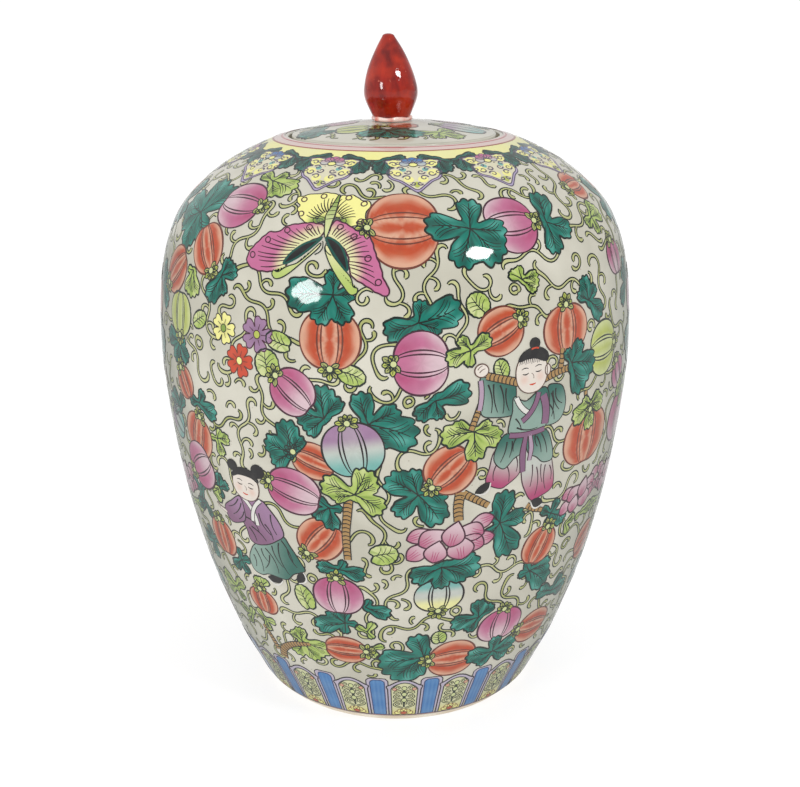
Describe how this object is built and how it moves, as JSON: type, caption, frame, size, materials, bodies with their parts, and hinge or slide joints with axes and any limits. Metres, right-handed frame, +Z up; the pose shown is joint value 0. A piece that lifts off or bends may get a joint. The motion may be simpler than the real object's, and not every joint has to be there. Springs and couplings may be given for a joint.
{
  "type": "ginger jar",
  "caption": "Ovoid lidded porcelain jar with a flush domed lid, a red lotus-bud finial and all-over painted enamel fruit, leaves and scrolling tendrils.",
  "frame": {"origin": "centre of the foot, on the surface the jar stands on", "axes": "+Z up along the jar's axis, towards the finial; -Y towards the painted front, +X to the viewer's right"},
  "size_m": [0.2706, 0.2706, 0.3804],
  "materials": {
    "glazed_porcelain": "glossy grey-cream glaze with a fine crackle and painted enamels",
    "biscuit": "bare unglazed biscuit",
    "pale_glaze": "glossy pale pink glaze",
    "red_glaze": "glossy iron-red glaze, mottled"
  },
  "bodies": {
    "jar": {"foot_ring": "biscuit", "lower_body": "glazed_porcelain", "upper_body": "glazed_porcelain", "mouth_collar": "biscuit"},
    "lid": {"lid_dome": "glazed_porcelain", "lid_flange": "biscuit", "finial_collar": "pale_glaze", "finial_bud": "red_glaze"}
  },
  "joints": [
    {"name": "lid_lift", "type": "slide", "parent": "jar", "child": "lid", "axis": [0, 0, 1], "range_m": [0, 0.12]}
  ]
}
